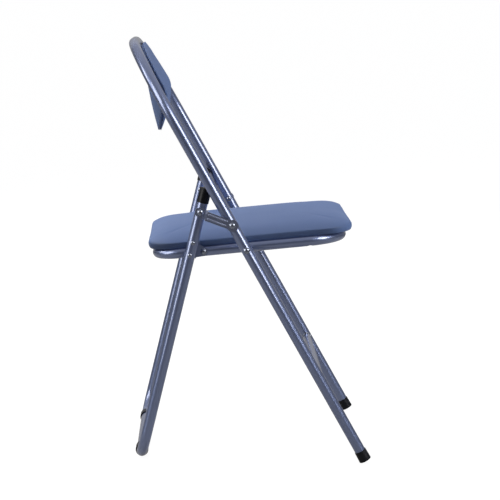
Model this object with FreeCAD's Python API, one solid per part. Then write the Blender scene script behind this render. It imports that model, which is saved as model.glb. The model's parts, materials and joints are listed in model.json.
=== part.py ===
import FreeCAD, Part
import math
import os

# Folding chair with a padded seat and back on two bent steel tube frames.
# Millimetres. +X is the way the sitter faces, +Y the sitter's left, +Z up.
# The origin is on the floor, in the middle of the open chair.
# Lengths called "up" or "along" are measured in the leaning plane of their frame.

# ---- tube frames
TUBE_R = 10.0
TUBE_WALL = 1.2
OVERALL_HEIGHT = 783.0
FRONT_FLOOR_X = 214.85         # where the front legs' centrelines meet the floor
FRONT_LEAN = 28.9              # degrees back from upright
FRONT_HALF_WIDTH = 210.0       # middle of the chair to a front leg's centreline
ARCH_RADIUS = 170.0            # bend at each top corner of the front frame
REAR_FLOOR_X = -207.75
REAR_LEAN = 14.04              # degrees forward from upright
LEG_GAP = 2.0                  # between a front leg and the rear leg beside it
REAR_BEND_RADIUS = 45.0
REAR_TOP_HEIGHT = 510.0
CROSSBAR_R = 8.0
CROSSBAR_HEIGHT = 158.0

# ---- plastic ends and glides
FOOT_CAP_TOP_R = 11.0
FOOT_CAP_FLOOR_R = 11.6
FOOT_CAP_LENGTH = 21.0
FOOT_CAP_FLOOR = 5.0
CAP_ROUND = 1.6
FLOOR_FLAT = 0.4               # taken off the plastic where it stands on the floor
TOP_CAP_R = 11.0
TOP_CAP_LENGTH = 28.0
TOP_CAP_END = 3.5
GLIDE_WALL = 2.0
GLIDE_LENGTH = 24.0
GLIDE_FROM_BEND = 2.0
GLIDE_SLOT = 13.0              # width of the slot that snaps over the tube

# ---- folding linkage, heights above the floor on the leg centrelines
SEAT_PIVOT_HEIGHT = 401.0
LINK_FRONT_HEIGHT = 447.6
LINK_REAR_HEIGHT = 469.6
SEAT_REAR_PIVOT_BACK = 78.5    # from the seat's front pivot to its rear pivot
RIVET_R = 3.0
RIVET_HEAD_R = 6.0
RIVET_HEAD_H = 2.8
SMALL_RIVET_R = 2.0
SMALL_RIVET_HEAD_R = 4.2
SMALL_RIVET_HEAD_H = 1.9
PIN_CLEARANCE = 0.05           # radial, where a part turns on a rivet
SIDE_GAP = 0.3                 # beside a part that turns
WASHER_R = 8.0
WASHER_T = 1.0
SPACER_R = 7.0

LINK_T = 2.0
LINK_WIDTH = 17.0
LINK_FRONT_EYE_R = 11.0
LINK_REAR_EYE_R = 9.5
JOGGLE_NEAR = 6.6              # joggle's outside starts this far from the rear eye's middle
JOGGLE_RUN = 5.0               # and takes this length of the strip
BEAD_R = 2.2
BEAD_SPACING = 8.0
BEAD_PROUD = 1.1

BRACKET_T = 2.0
BRACKET_EAR_R = 8.0
BRACKET_EAR_HEIGHT = 406.5     # where the ear's upper edge springs from the leg's centreline
BRACKET_RIVET_HEIGHTS = (413.3, 390.1)
BRACKET_SADDLE_END = 4.0       # saddle beyond each bracket rivet

# ---- seat, in its own plane: along +forward from the front pivot
SEAT_TILT = 5.0                # degrees, front edge higher
SEAT_TUBE_R = 10.0
SEAT_FRAME_FRONT = 180.0
SEAT_FRAME_REAR = -164.0
SEAT_FRONT_CORNER_R = 60.0
SEAT_REAR_CORNER_R = 42.0
CUSHION_FRONT = 200.7
CUSHION_REAR = -180.0
CUSHION_HALF_WIDTH = 172.5
CUSHION_CORNER_R = 46.0
CUSHION_HEIGHT = 37.0
CUSHION_CROWN_ACROSS = 15.0    # lower at the sides than in the middle
CUSHION_CROWN_ALONG = 10.7     # lower at the front and rear than in the middle
CUSHION_CROWN_POWER = 2.4
CUSHION_EDGE_R = 9.0
BOARD_T = 9.0
BOARD_INSET = 5.0
SEAT_SCREW_STATIONS = (-118.0, 118.0)
SCREW_R = 2.2
SCREW_HEAD_R = 4.4
SCREW_HEAD_H = 2.4
SCREW_BITE = 6.5
SCREW_ACCESS_R = 5.5           # hole in the tube's lower wall that the seat screw's head goes in by

# ---- back panel, in the front frame's plane
PANEL_INSET = 8.0              # inside the arch's centreline
PANEL_DROP = 170.0             # lowest point, down from the arch's centreline
PANEL_BOTTOM_RADIUS = 307.0
PANEL_CORNER_R = 18.0
PANEL_SCOOP = 0.4308           # how fast the middle falls behind the frame
PANEL_SCOOP_EASE = 0.000585
BACK_BOARD_T = 4.0
BACK_PAD_TOP_EDGE = 2.5
BACK_PAD_LOW_EDGE = 7.5
BACK_PAD_CROWN = 6.0
TAB_T = 2.5
TAB_WIDTH = 22.0
TAB_REACH = 30.0
TAB_SIDE_DROP = 93.0
TAB_TOP_OUT = 62.0
BACK_SCREW_INSET = 20.0        # inside the arch's centreline

V = FreeCAD.Vector
SIDES = (("left", 1), ("right", -1))
UP = V(0, 0, 1)
ACROSS = V(0, 1, 0)
AHEAD = V(1, 0, 0)

# ---- places worked out from the sizes above
front_tan = math.tan(math.radians(FRONT_LEAN))
front_cos = math.cos(math.radians(FRONT_LEAN))
rear_tan = math.tan(math.radians(REAR_LEAN))
rear_cos = math.cos(math.radians(REAR_LEAN))
front_plane = FreeCAD.Placement(V(FRONT_FLOOR_X, 0, 0), FreeCAD.Rotation(ACROSS, -FRONT_LEAN))
rear_plane = FreeCAD.Placement(V(REAR_FLOOR_X, 0, 0), FreeCAD.Rotation(ACROSS, REAR_LEAN))
rear_half_width = FRONT_HALF_WIDTH - 2 * TUBE_R - LEG_GAP
arch_top = (OVERALL_HEIGHT - TUBE_R) / front_cos
arch_start = arch_top - ARCH_RADIUS
foot_up = ((FOOT_CAP_FLOOR_R - CAP_ROUND) * front_tan + (CAP_ROUND - FLOOR_FLAT) / front_cos - CAP_ROUND)
leg_end_up = foot_up + FOOT_CAP_FLOOR
rear_bar_height = TUBE_R + GLIDE_WALL - FLOOR_FLAT
rear_bar_up = rear_bar_height / rear_cos
rear_top_up = REAR_TOP_HEIGHT / rear_cos


def on_front_leg(height):
    """X and Z of the front legs' centreline at a height."""
    return V(FRONT_FLOOR_X - height * front_tan, 0, height)


def on_rear_leg(height):
    """X and Z of the rear legs' centreline at a height."""
    return V(REAR_FLOOR_X + height * rear_tan, 0, height)


seat_pivot = on_front_leg(SEAT_PIVOT_HEIGHT)
link_front = on_front_leg(LINK_FRONT_HEIGHT)
link_rear = on_rear_leg(LINK_REAR_HEIGHT)
seat_plane = FreeCAD.Placement(seat_pivot, FreeCAD.Rotation(ACROSS, -SEAT_TILT))
seat_rear_pivot = seat_plane.multVec(V(-SEAT_REAR_PIVOT_BACK, 0, 0))

# places across the chair, from the middle outwards, on one side
rear_leg_inner = rear_half_width - TUBE_R
rear_leg_outer = rear_half_width + TUBE_R
front_leg_inner = FRONT_HALF_WIDTH - TUBE_R
front_leg_outer = FRONT_HALF_WIDTH + TUBE_R
bracket_inner = rear_leg_inner - BRACKET_T
seat_tube_outer = bracket_inner - WASHER_T - SIDE_GAP
seat_half_width = seat_tube_outer - SEAT_TUBE_R
seat_tube_inner = seat_half_width - SEAT_TUBE_R
link_outer_plane = front_leg_outer + WASHER_T + SIDE_GAP
link_inner_plane = rear_half_width + TOP_CAP_R + SIDE_GAP


def put(shape, placement):
    """A copy of a shape, moved from a local frame into the chair's frame."""
    moved = shape.copy()
    moved.Placement = placement.multiply(moved.Placement)
    return moved


def save(name, *solids):
    """Write one node: one solid, or a group of separate ones."""
    for solid in solids:
        if not solid.isValid() or len(solid.Solids) != 1:
            raise ValueError("%s: %d solids, valid %s" % (name, len(solid.Solids), solid.isValid()))
    shape = solids[0].Solids[0] if len(solids) == 1 else Part.makeCompound([s.Solids[0] for s in solids])
    shape.exportStep(os.path.join("parts", name + ".step"))
    print("%-26s %2d solid(s)  volume %10.1f" % (name, len(solids), shape.Volume))


# ---- shapes shared by several pieces
def annulus(centre, direction, outer_r, inner_r):
    """A flat ring square to a direction, or a disc when inner_r is 0."""
    wires = [Part.Wire(Part.makeCircle(outer_r, centre, direction))]
    if inner_r > 0:
        wires.append(Part.Wire(Part.makeCircle(inner_r, centre, direction)))
    return Part.makeFace(wires, "Part::FaceMakerBullseye")


def bent_tube(points, bends, outer_r, inner_r, closed=False):
    """A tube along straight runs, with a bend radius for each corner."""
    count = len(points)
    corners = range(count) if closed else range(1, count - 1)
    trims = {}
    pieces = []
    for i, bend_r in zip(corners, bends):
        before = (points[i] - points[i - 1]).normalize()
        after = (points[(i + 1) % count] - points[i]).normalize()
        turn = before.getAngle(after)
        trim = bend_r * math.tan(turn / 2)
        trims[i] = trim
        start = points[i] - before * trim
        axis = before.cross(after).normalize()
        centre = start + axis.cross(before) * bend_r
        ring = annulus(start, before, outer_r, inner_r)
        pieces.append(ring.revolve(centre, axis, math.degrees(turn)))
    for i in range(count if closed else count - 1):
        k = (i + 1) % count
        along = (points[k] - points[i]).normalize()
        start = points[i] + along * trims.get(i, 0)
        end = points[k] - along * trims.get(k, 0)
        pieces.append(annulus(start, along, outer_r, inner_r).extrude(end - start))
    return pieces[0].multiFuse(pieces[1:]).removeSplitter()


def cross_rod(at, radius, y_from, y_to):
    """A round rod along Y at the X and Z of a point."""
    low = min(y_from, y_to)
    return Part.makeCylinder(radius, abs(y_to - y_from), V(at.x, low, at.z), ACROSS)


def dome(radius, height):
    """A low domed head standing on the XY plane."""
    sphere_r = (radius ** 2 + height ** 2) / (2 * height)
    cap = Part.makeSphere(sphere_r, V(0, 0, height - sphere_r))
    return cap.common(Part.makeCylinder(radius * 1.2, height * 1.2))


def rivet(at, side, y_head, y_tail, shank_r, head_r, head_h, tail=True):
    """A rivet across the chair: a domed head outside, its shank and a flatter head inside."""
    grip = y_head - y_tail
    body = dome(head_r, head_h).fuse(Part.makeCylinder(shank_r, grip, V(0, 0, -grip)))
    if tail:
        closed = dome(head_r * 0.85, head_h * 0.7)
        closed.rotate(V(0, 0, 0), AHEAD, 180)
        closed.translate(V(0, 0, -grip))
        body = body.fuse(closed)
    outward = FreeCAD.Rotation(UP, V(0, side, 0))
    return put(body.removeSplitter(), FreeCAD.Placement(V(at.x, side * y_head, at.z), outward))


def sleeve_cap(top_r, end_r, length, end_t, bore_r):
    """A cap open at z = 0 and closed at z = length, with a rounded end."""
    profile = Part.makePolygon([V(0, 0, 0), V(top_r, 0, 0), V(end_r, 0, length), V(0, 0, length), V(0, 0, 0)])
    cap = Part.Face(profile).revolve(V(0, 0, 0), UP, 360)
    end_edges = [e for e in cap.Edges if abs(e.BoundBox.ZMin - length) < 1e-6 and e.Closed]
    cap = cap.makeFillet(CAP_ROUND, end_edges)
    return cap.cut(Part.makeCylinder(bore_r, length - end_t))


def stood_on_floor(shape):
    """Cut flat whatever reaches below the floor."""
    box = shape.BoundBox
    below = Part.makeBox(box.XLength + 2, box.YLength + 2, TUBE_R, V(box.XMin - 1, box.YMin - 1, -TUBE_R))
    return shape.cut(below)


def stadium(p, q, radius, y_low, y_high):
    """A flat bar with round ends from p to q in the XZ plane."""
    depth = V(0, y_high - y_low, 0)
    a = V(p.x, y_low, p.z)
    b = V(q.x, y_low, q.z)
    along = (b - a).normalize()
    aside = along.cross(ACROSS) * radius
    outline = Part.makePolygon([a + aside, b + aside, b - aside, a - aside, a + aside])
    body = Part.Face(outline).extrude(depth)
    ends = [Part.makeCylinder(radius, y_high - y_low, e, ACROSS) for e in (a, b)]
    return body.multiFuse(ends)


# ---- front frame, in its leaning plane: X is forward of the plane, Z is up it
def front_frame():
    corners = [V(0, -FRONT_HALF_WIDTH, leg_end_up), V(0, -FRONT_HALF_WIDTH, arch_top),
               V(0, FRONT_HALF_WIDTH, arch_top), V(0, FRONT_HALF_WIDTH, leg_end_up)]
    frame = put(bent_tube(corners, [ARCH_RADIUS] * 2, TUBE_R, TUBE_R - TUBE_WALL), front_plane)
    for pivot in (seat_pivot, link_front):
        frame = frame.cut(cross_rod(pivot, RIVET_R, -front_leg_outer - 1, front_leg_outer + 1))
    return frame


def crossbar(frame_outline):
    at = on_front_leg(CROSSBAR_HEIGHT)
    bar = cross_rod(at, CROSSBAR_R, -FRONT_HALF_WIDTH, FRONT_HALF_WIDTH)
    bar = bar.cut(cross_rod(at, CROSSBAR_R - TUBE_WALL, -FRONT_HALF_WIDTH, FRONT_HALF_WIDTH))
    trimmed = bar.cut(frame_outline)
    return max(trimmed.Solids, key=lambda s: s.Volume)


def leg_outline():
    """The two straight front legs as full rods, to trim what is welded to them."""
    rods = [Part.makeCylinder(TUBE_R, arch_start, V(0, s * FRONT_HALF_WIDTH, 0)) for _, s in SIDES]
    return put(rods[0].fuse(rods[1]), front_plane)


def foot_cap(side):
    cap = sleeve_cap(FOOT_CAP_TOP_R, FOOT_CAP_FLOOR_R, FOOT_CAP_LENGTH, FOOT_CAP_FLOOR, TUBE_R)
    cap.rotate(V(0, 0, 0), AHEAD, 180)
    cap.translate(V(0, side * FRONT_HALF_WIDTH, foot_up + FOOT_CAP_LENGTH))
    return stood_on_floor(put(cap, front_plane))


# ---- rear frame
def rear_frame():
    corners = [V(0, -rear_half_width, rear_top_up), V(0, -rear_half_width, rear_bar_up),
               V(0, rear_half_width, rear_bar_up), V(0, rear_half_width, rear_top_up)]
    frame = put(bent_tube(corners, [REAR_BEND_RADIUS] * 2, TUBE_R, TUBE_R - TUBE_WALL), rear_plane)
    frame = frame.cut(cross_rod(link_rear, RIVET_R, -rear_leg_outer - 1, rear_leg_outer + 1))
    for height in BRACKET_RIVET_HEIGHTS:
        at = on_rear_leg(height)
        frame = frame.cut(cross_rod(at, SMALL_RIVET_R, -rear_leg_outer - 1, rear_leg_outer + 1))
    return frame


def top_cap(side):
    cap = sleeve_cap(TOP_CAP_R, TOP_CAP_R, TOP_CAP_LENGTH, TOP_CAP_END, TUBE_R)
    cap.translate(V(0, side * rear_half_width, rear_top_up + TOP_CAP_END - TOP_CAP_LENGTH))
    return put(cap, rear_plane)


def floor_glide(side):
    """A saddle that snaps over the rear frame's floor bar from below."""
    at = on_rear_leg(rear_bar_height)
    y_out = rear_half_width - REAR_BEND_RADIUS - GLIDE_FROM_BEND
    y_in = y_out - GLIDE_LENGTH
    glide = cross_rod(at, TUBE_R + GLIDE_WALL, side * y_in, side * y_out)
    glide = glide.cut(cross_rod(at, TUBE_R, side * (y_in - 1), side * (y_out + 1)))
    slot = Part.makeBox(GLIDE_SLOT, 2 * GLIDE_LENGTH, 2 * TUBE_R,
                        V(at.x - GLIDE_SLOT / 2, side * (y_in + y_out) / 2 - GLIDE_LENGTH, at.z))
    slot.rotate(V(at.x, 0, at.z), ACROSS, 30)
    return stood_on_floor(glide.cut(slot))


# ---- links between the legs
def link(side):
    """A pressed strip: flat beside the front leg, stepped in to the rear leg, with two beads."""
    run = link_rear - link_front
    length = run.Length
    step = link_outer_plane - link_inner_plane
    lean = LINK_T / math.sin(math.atan2(step, JOGGLE_RUN))
    step_near = length - JOGGLE_NEAR - lean
    step_far = step_near - JOGGLE_RUN
    reach = LINK_FRONT_EYE_R + 1
    # local frame: X from the front eye to the rear eye, Y outwards, Z across the strip
    outline = [(-reach, 0), (step_far, 0), (step_near, -step), (length + reach, -step),
               (length + reach, LINK_T - step), (step_near + lean, LINK_T - step),
               (step_far + lean, LINK_T), (-reach, LINK_T)]
    points = [V(x, y, -reach) for x, y in outline]
    strip = Part.Face(Part.makePolygon(points + points[:1])).extrude(V(0, 0, 2 * reach))
    front_eye = V(0, 0, 0)
    rear_eye = V(length, 0, 0)
    low = -step - 1
    high = LINK_T + 1
    plan = stadium(front_eye, rear_eye, LINK_WIDTH / 2, low, high)
    plan = plan.multiFuse([cross_rod(front_eye, LINK_FRONT_EYE_R, low, high),
                           cross_rod(rear_eye, LINK_REAR_EYE_R, low, high)])
    strip = strip.common(plan)
    beads = []
    for across in (-BEAD_SPACING / 2, BEAD_SPACING / 2):
        start = V(LINK_FRONT_EYE_R + 1.5, LINK_T + BEAD_PROUD - BEAD_R, across)
        bead_length = step_far - start.x - BEAD_R
        bead = Part.makeCylinder(BEAD_R, bead_length, start, AHEAD)
        bead = bead.multiFuse([Part.makeSphere(BEAD_R, start),
                               Part.makeSphere(BEAD_R, start + V(bead_length, 0, 0))])
        above = Part.makeBox(2 * length, BEAD_R * 2, 2 * reach, V(-reach, LINK_T / 2, -reach))
        beads.append(bead.common(above))
    strip = strip.multiFuse(beads)
    strip = strip.cut(cross_rod(front_eye, RIVET_R + PIN_CLEARANCE, low, high))
    strip = strip.cut(cross_rod(rear_eye, RIVET_R, low, high))
    if side < 0:
        strip = strip.mirror(V(0, 0, 0), ACROSS)
    turn = FreeCAD.Rotation(AHEAD, run)
    place = FreeCAD.Placement(V(link_front.x, side * link_outer_plane, link_front.z), turn)
    return put(strip.removeSplitter(), place)


def washer(at, side, y_from, bore_r):
    outer = cross_rod(at, WASHER_R, side * y_from, side * (y_from + WASHER_T))
    return outer.cut(cross_rod(at, bore_r, side * (y_from - 1), side * (y_from + WASHER_T + 1)))


# ---- brackets that carry the seat's rear pivot on the rear legs
def bracket(side):
    top, bottom = [on_rear_leg(h) for h in BRACKET_RIVET_HEIGHTS]
    low, high = sorted((side * bracket_inner, side * rear_leg_inner))
    plate = stadium(top, bottom, TUBE_R, low, high)
    spring = on_rear_leg(BRACKET_EAR_HEIGHT)
    plate = plate.multiFuse([stadium(spring, seat_rear_pivot, BRACKET_EAR_R, low, high),
                             stadium(bottom, seat_rear_pivot, BRACKET_EAR_R, low, high)])
    # the saddle wraps a quarter of the leg, from its inner side round to its front
    start = (bottom.z - BRACKET_SADDLE_END) / rear_cos
    height = (top.z + BRACKET_SADDLE_END) / rear_cos - start
    foot = V(0, side * rear_half_width, start)
    saddle = Part.makeCylinder(TUBE_R + BRACKET_T, height, foot)
    saddle = saddle.cut(Part.makeCylinder(TUBE_R, height, foot))
    quarter_y = foot.y - (TUBE_R * 2 if side > 0 else 0)
    quarter = Part.makeBox(TUBE_R * 2, TUBE_R * 2, height, V(0, quarter_y, start))
    saddle = put(saddle.common(quarter), rear_plane)
    body = plate.cut(put(Part.makeCylinder(TUBE_R, height * 3, foot - V(0, 0, height)), rear_plane))
    body = body.fuse(saddle)
    body = body.cut(cross_rod(seat_rear_pivot, RIVET_R, low - 1, high + 1))
    for at in (top, bottom):
        body = body.cut(cross_rod(at, SMALL_RIVET_R, low - 1, high + 1))
    return body.removeSplitter()


# ---- seat, in its own plane: X forward and Z up from the front pivot
def rounded_plate(x_rear, x_front, half_width, corner_r, z_low, height):
    plate = Part.makeBox(x_front - x_rear, 2 * half_width, height, V(x_rear, -half_width, z_low))
    uprights = [e for e in plate.Edges if abs(e.BoundBox.ZLength - height) < 1e-6]
    return plate.makeFillet(corner_r, uprights)


def seat_frame():
    corners = [V(SEAT_FRAME_REAR, -seat_half_width, 0), V(SEAT_FRAME_FRONT, -seat_half_width, 0),
               V(SEAT_FRAME_FRONT, seat_half_width, 0), V(SEAT_FRAME_REAR, seat_half_width, 0)]
    bends = [SEAT_REAR_CORNER_R, SEAT_FRONT_CORNER_R, SEAT_FRONT_CORNER_R, SEAT_REAR_CORNER_R]
    loop = bent_tube(corners, bends, SEAT_TUBE_R, SEAT_TUBE_R - TUBE_WALL, closed=True)
    for station in SEAT_SCREW_STATIONS:
        for _, side in SIDES:
            base = V(station, side * seat_half_width, -SEAT_TUBE_R - 1)
            loop = loop.cut(Part.makeCylinder(SCREW_R, 2 * SEAT_TUBE_R + 2, base))
            loop = loop.cut(Part.makeCylinder(SCREW_ACCESS_R, SEAT_TUBE_R + 1, base))
    loop = put(loop, seat_plane)
    reach = seat_half_width + 2 * SEAT_TUBE_R
    loop = loop.cut(cross_rod(seat_pivot, RIVET_R + PIN_CLEARANCE, -reach, reach))
    return loop.cut(cross_rod(seat_rear_pivot, RIVET_R + PIN_CLEARANCE, -reach, reach))


def seat_screw(station, side):
    """A pan head screw inside the side tube, up through its upper wall into the board."""
    x = station
    y = side * seat_half_width
    # the head's rim meets the curve inside the tube's upper wall
    seat_z = math.sqrt((SEAT_TUBE_R - TUBE_WALL) ** 2 - SCREW_HEAD_R ** 2)
    shank = Part.makeCylinder(SCREW_R, SEAT_TUBE_R + SCREW_BITE - seat_z, V(x, y, seat_z))
    head = dome(SCREW_HEAD_R, SCREW_HEAD_H)
    head.rotate(V(0, 0, 0), AHEAD, 180)
    head.translate(V(x, y, seat_z))
    return put(shank.fuse(head).removeSplitter(), seat_plane)


def seat_board():
    board = rounded_plate(CUSHION_REAR + BOARD_INSET, CUSHION_FRONT - BOARD_INSET,
                          CUSHION_HALF_WIDTH - BOARD_INSET, CUSHION_CORNER_R - BOARD_INSET,
                          SEAT_TUBE_R, BOARD_T)
    for station in SEAT_SCREW_STATIONS:
        for _, side in SIDES:
            base = V(station, side * seat_half_width, SEAT_TUBE_R)
            board = board.cut(Part.makeCylinder(SCREW_R, SCREW_BITE, base))
    return board


def cushion_sheet():
    """The cushion's top as one surface, crowned both ways."""
    rows = 15
    half_length = (CUSHION_FRONT - CUSHION_REAR) / 2
    middle = (CUSHION_FRONT + CUSHION_REAR) / 2
    grid = []
    for i in range(rows):
        along = 1.04 * (2 * i / (rows - 1) - 1)
        row = []
        for j in range(rows):
            across = 1.04 * (2 * j / (rows - 1) - 1)
            fall = (CUSHION_CROWN_ACROSS * abs(across) ** CUSHION_CROWN_POWER
                    + CUSHION_CROWN_ALONG * abs(along) ** CUSHION_CROWN_POWER)
            row.append(V(middle + along * half_length, across * CUSHION_HALF_WIDTH,
                         SEAT_TUBE_R + CUSHION_HEIGHT - fall))
        grid.append(row)
    sheet = Part.BSplineSurface()
    sheet.interpolate(grid)
    return sheet.toShape()


def seat_cushion(board):
    """Foam and cover as one closed form, crowned, with the board let into its underside."""
    body = rounded_plate(CUSHION_REAR, CUSHION_FRONT, CUSHION_HALF_WIDTH, CUSHION_CORNER_R,
                         SEAT_TUBE_R, CUSHION_HEIGHT)
    body = body.common(cushion_sheet().extrude(V(0, 0, -2 * CUSHION_HEIGHT)))
    top = max(body.Faces, key=lambda f: f.CenterOfMass.z)
    body = body.makeFillet(CUSHION_EDGE_R, top.OuterWire.Edges)
    blank = rounded_plate(CUSHION_REAR + BOARD_INSET, CUSHION_FRONT - BOARD_INSET,
                          CUSHION_HALF_WIDTH - BOARD_INSET, CUSHION_CORNER_R - BOARD_INSET,
                          board.BoundBox.ZMin, board.BoundBox.ZLength)
    return body.cut(blank)


# ---- back panel, in the front frame's plane
panel_top = arch_top - PANEL_INSET
panel_bottom = arch_top - PANEL_DROP
tab_side_up = arch_top - TAB_SIDE_DROP


def arch_half_width(up):
    """Half width of the arch's centreline at a distance up the frame."""
    rise = up - arch_start
    return FRONT_HALF_WIDTH - ARCH_RADIUS + math.sqrt(ARCH_RADIUS ** 2 - rise ** 2)


def panel_rear(up, share):
    """How far forward of the frame's plane the panel's rear face is, share of the way out."""
    below = panel_top - up
    scoop = PANEL_SCOOP * below - PANEL_SCOOP_EASE * below ** 2
    return TUBE_R - scoop * (1 - share ** 2)


def panel_sheet(offset, low_offset=None, crown=0.0):
    """The panel's rear face moved forward by offset, or by another at its bottom, plus a crown."""
    gain = 0.0 if low_offset is None else low_offset - offset
    rows = 9
    columns = 11
    grid = []
    for i in range(rows):
        high = i / (rows - 1)
        up = panel_bottom - 2 + high * (panel_top + 2 - panel_bottom)
        row = []
        for j in range(columns):
            share = 2 * j / (columns - 1) - 1
            rise = crown * (1 - share ** 2) * (1 - (2 * high - 1) ** 4)
            rise += gain * (1 - high)
            row.append(V(panel_rear(up, share) + offset + rise, share * arch_half_width(up), up))
        grid.append(row)
    sheet = Part.BSplineSurface()
    sheet.interpolate(grid)
    return sheet.toShape()


def panel_prism():
    """The panel's outline: the arch, inset, closed below by one wide curve, corners rounded."""
    depth = 4 * ARCH_RADIUS
    radius = ARCH_RADIUS - PANEL_INSET
    flat = FRONT_HALF_WIDTH - ARCH_RADIUS
    base = V(-depth / 2, 0, 0)
    rods = [Part.makeCylinder(radius, depth, base + V(0, s * flat, arch_start), AHEAD) for _, s in SIDES]
    middle = Part.makeBox(depth, 2 * flat, radius, base + V(0, -flat, arch_start))
    arch = rods[0].multiFuse([rods[1], middle])
    bowl = Part.makeCylinder(PANEL_BOTTOM_RADIUS, depth,
                             base + V(0, 0, panel_bottom + PANEL_BOTTOM_RADIUS), AHEAD)
    prism = arch.common(bowl).removeSplitter()
    low = panel_bottom + PANEL_BOTTOM_RADIUS / 2
    corners = [e for e in prism.Edges if e.BoundBox.XLength > depth / 2
               and abs(e.BoundBox.Center.y) > flat + radius / 2 and e.BoundBox.ZMax < low]
    return prism.makeFillet(PANEL_CORNER_R, corners)


def tab_places():
    """Middle of each tab's screw as (across, up), and the way the tab runs from the tube."""
    side_y = arch_half_width(tab_side_up) - BACK_SCREW_INSET
    top_up = arch_start + math.sqrt(ARCH_RADIUS ** 2 - (TAB_TOP_OUT - FRONT_HALF_WIDTH + ARCH_RADIUS) ** 2)
    places = []
    for _, s in SIDES:
        places.append((s * side_y, tab_side_up, V(0, -s, 0)))
        places.append((s * TAB_TOP_OUT, top_up - BACK_SCREW_INSET, V(0, 0, -1)))
    return places


def panel_share(across, up):
    return abs(across) / arch_half_width(up)


def back_tab(across, up, inward, arch_rod, layer):
    """A tab welded to the inside of the arch, pressed to the shape of the board's rear."""
    depth = 2 * ARCH_RADIUS
    root = V(-depth / 2, across, up) - inward * BACK_SCREW_INSET
    along = inward * TAB_REACH
    aside = AHEAD.cross(inward) * (TAB_WIDTH / 2)
    points = [root + aside, root + aside + along, root - aside + along, root - aside, root + aside]
    blank = Part.Face(Part.makePolygon(points)).extrude(V(depth, 0, 0))
    ends = [e for e in blank.Edges if e.BoundBox.XLength > depth / 2
            and (e.BoundBox.Center - root).dot(inward) > TAB_REACH / 2]
    blank = blank.makeFillet(TAB_WIDTH / 3, ends)
    seat_x = panel_rear(up, panel_share(across, up)) - TAB_T
    blank = blank.cut(Part.makeCylinder(SCREW_R, depth, V(seat_x - 1, across, up), AHEAD))
    blank = blank.cut(Part.makeCylinder(SCREW_HEAD_R + 0.3, TAB_T, V(seat_x - TAB_T, across, up), AHEAD))
    return max(layer.common(blank).cut(arch_rod).Solids, key=lambda s: s.Volume)


def back_screw(across, up):
    face = panel_rear(up, panel_share(across, up))
    head = dome(SCREW_HEAD_R, SCREW_HEAD_H)
    head.rotate(V(0, 0, 0), ACROSS, -90)
    head.translate(V(face - TAB_T, across, up))
    shank = Part.makeCylinder(SCREW_R, TAB_T + BACK_BOARD_T - 0.5, V(face - TAB_T, across, up), AHEAD)
    return put(shank.fuse(head).removeSplitter(), front_plane)


def back_panel():
    """The shaped board and the pad on its front, as two solids."""
    depth = 3 * ARCH_RADIUS
    prism = panel_prism()
    rear = panel_sheet(0.0)
    board = rear.extrude(V(BACK_BOARD_T, 0, 0)).common(prism)
    thick = panel_sheet(BACK_BOARD_T).extrude(V(depth, 0, 0)).common(prism)
    front = panel_sheet(BACK_BOARD_T + BACK_PAD_TOP_EDGE, BACK_BOARD_T + BACK_PAD_LOW_EDGE, BACK_PAD_CROWN)
    pad = thick.common(front.extrude(V(-depth, 0, 0)))
    for across, up, _ in tab_places():
        face = panel_rear(up, panel_share(across, up))
        hole = Part.makeCylinder(SCREW_R, TAB_T + BACK_BOARD_T - 0.5, V(face - TAB_T, across, up), AHEAD)
        board = board.cut(hole)
        pad = pad.cut(hole)
    return put(board, front_plane), put(pad, front_plane)


def arch_rod():
    """The arch as a full rod, to trim what is welded to it."""
    corners = [V(0, -FRONT_HALF_WIDTH, arch_start - TAB_REACH), V(0, -FRONT_HALF_WIDTH, arch_top),
               V(0, FRONT_HALF_WIDTH, arch_top), V(0, FRONT_HALF_WIDTH, arch_start - TAB_REACH)]
    return bent_tube(corners, [ARCH_RADIUS] * 2, TUBE_R, 0)


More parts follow.
